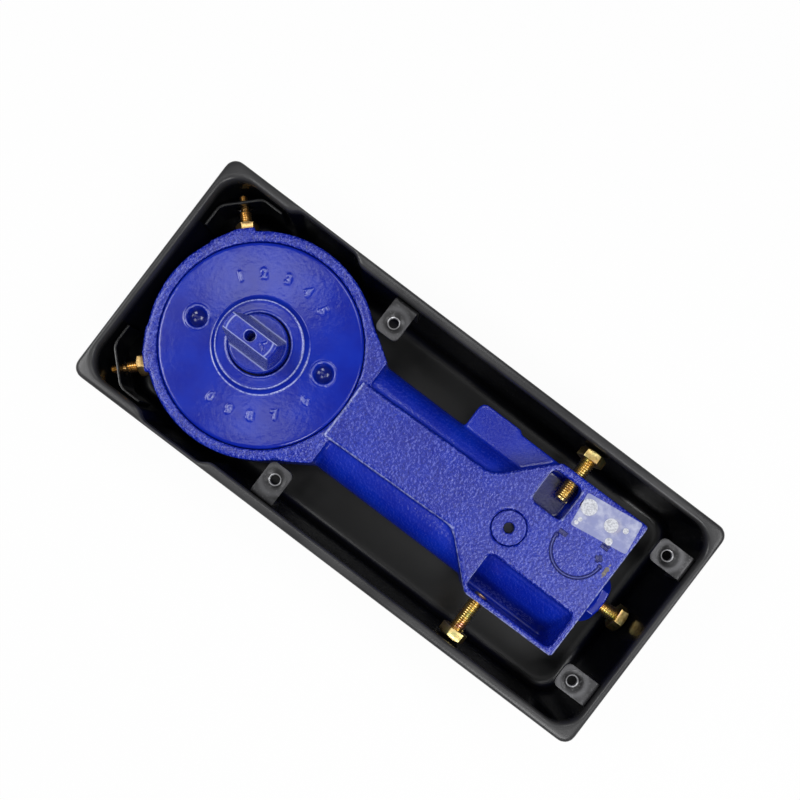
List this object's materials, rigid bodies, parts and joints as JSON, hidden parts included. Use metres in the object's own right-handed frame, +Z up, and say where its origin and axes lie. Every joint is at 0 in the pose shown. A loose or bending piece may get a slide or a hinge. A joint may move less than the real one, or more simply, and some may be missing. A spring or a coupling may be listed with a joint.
{
  "type": "floor spring door closer",
  "caption": "Hydraulic floor spring for a pivoted door: tapered spindle, round casing, barrel neck and valve head, held by adjusting screws in a deep-drawn floor box.",
  "frame": {"origin": "centre of the box's underside", "axes": "+X along the box from the spindle's end to the valve head, +Y to the left looking along +X, +Z up out of the floor"},
  "size_m": [0.306, 0.132, 0.0655],
  "materials": {
    "box_black": "satin black coat",
    "tab_grey": "thin dark coat on pressed steel",
    "cast_blue": "glossy enamel over a sand casting",
    "gloss_blue": "smooth glossy enamel",
    "yellow_zinc": "yellow passivated zinc",
    "brass": "plain turned",
    "steel": "ground",
    "spring_steel": "oil-tempered wire",
    "seal_rubber": "matte"
  },
  "bodies": {
    "box": {"box_floor": "box_black", "box_spindle_end": "box_black", "box_left_side": "box_black", "box_right_side": "box_black", "box_head_end": "box_black", "side_tab_left": "tab_grey", "side_tab_right": "tab_grey", "end_tab_left": "tab_grey", "end_tab_right": "tab_grey", "corner_bracket_left": "tab_grey", "corner_bracket_right": "tab_grey"},
    "closer": {"housing": "cast_blue", "housing_cap": "gloss_blue", "cap_seal": "seal_rubber", "upper_bearing_ring": "steel", "upper_bearing_needles": "steel", "spindle_seal": "seal_rubber", "lower_bearing_outer": "steel", "lower_bearing_balls": "steel", "main_spring": "spring_steel", "spring_seat": "steel", "end_plug": "gloss_blue", "end_plug_seal": "seal_rubber", "filler_plug": "cast_blue", "gallery_plugs": "steel", "corner_stud_locknuts": "brass"},
    "spindle": {"spindle": "gloss_blue", "cam_key": "steel", "heart_cam": "steel", "lower_bearing_inner": "steel"},
    "carriage": {"upper_slide_plate": "steel", "lower_slide_plate": "steel", "roller_pin": "steel", "crosshead": "steel", "crosshead_pins": "steel", "piston_rod": "steel", "rod_nut": "steel", "piston": "steel", "piston_ring": "seal_rubber", "check_ball": "steel", "check_ball_retainer": "steel"},
    "roller": {"cam_roller": "steel"},
    "closing_valve": {"closing_speed_valve": "brass", "closing_valve_seal": "seal_rubber"},
    "latching_valve": {"latching_speed_valve": "brass", "latching_valve_seal": "seal_rubber"},
    "left_bolt": {"left_side_bolt": "yellow_zinc"},
    "right_bolt": {"right_side_bolt": "yellow_zinc"},
    "end_bolt": {"end_bolt": "yellow_zinc"},
    "left_stud": {"left_corner_stud": "brass"},
    "right_stud": {"right_corner_stud": "brass"}
  },
  "joints": [
    {"name": "unit_swing", "type": "hinge", "parent": "box", "child": "closer", "pos_m": [-0.0875, 0, 0.02], "axis": [0, 0, 1], "range_deg": [-1.5, 1.5]},
    {"name": "left_bolt_slide", "type": "slide", "parent": "closer", "child": "left_bolt", "axis": [0, 1, 0], "range_m": [-0.0045, 0.0045]},
    {"name": "right_bolt_slide", "type": "slide", "parent": "closer", "child": "right_bolt", "axis": [0, 1, 0], "range_m": [-0.0045, 0.0045]},
    {"name": "end_bolt_slide", "type": "slide", "parent": "closer", "child": "end_bolt", "axis": [1, 0, 0], "range_m": [-0.0065, 0]},
    {"name": "left_stud_slide", "type": "slide", "parent": "closer", "child": "left_stud", "axis": [-0.7071, 0.7071, 0], "range_m": [-0.003, 0.0004]},
    {"name": "right_stud_slide", "type": "slide", "parent": "closer", "child": "right_stud", "axis": [-0.7071, -0.7071, 0], "range_m": [-0.003, 0.0004]},
    {"name": "spindle_turn", "type": "hinge", "parent": "closer", "child": "spindle", "pos_m": [-0.0875, 0, 0.03], "axis": [0, 0, 1], "range_deg": [0, 130], "stiffness_Nm_per_rad": 8, "springref_deg": -28.65},
    {"name": "carriage_slide", "type": "slide", "parent": "closer", "child": "carriage", "axis": [-1, 0, 0], "range_m": [0, 0.01201], "deforming": ["main_spring"]},
    {"name": "roller_turn", "type": "hinge", "parent": "carriage", "child": "roller", "pos_m": [-0.111, 0, 0.023], "axis": [0, 0, 1], "range_deg": [-290, 0]},
    {"name": "closing_valve_turn", "type": "hinge", "parent": "closer", "child": "closing_valve", "pos_m": [0.0911, 0.0346, 0.04], "axis": [0, 0, 1], "range_deg": [-360, 360]},
    {"name": "latching_valve_turn", "type": "hinge", "parent": "closer", "child": "latching_valve", "pos_m": [0.1068, 0.0346, 0.04], "axis": [0, 0, 1], "range_deg": [-360, 360]}
  ],
  "couplings": [
    {"joint": "carriage_slide", "follows": "spindle_turn", "m_per_rad": 0.005289},
    {"joint": "roller_turn", "follows": "spindle_turn", "ratio": -2.22},
    {"joint": "left_bolt_slide", "follows": "unit_swing", "m_per_rad": -0.1665},
    {"joint": "right_bolt_slide", "follows": "unit_swing", "m_per_rad": -0.1635}
  ]
}
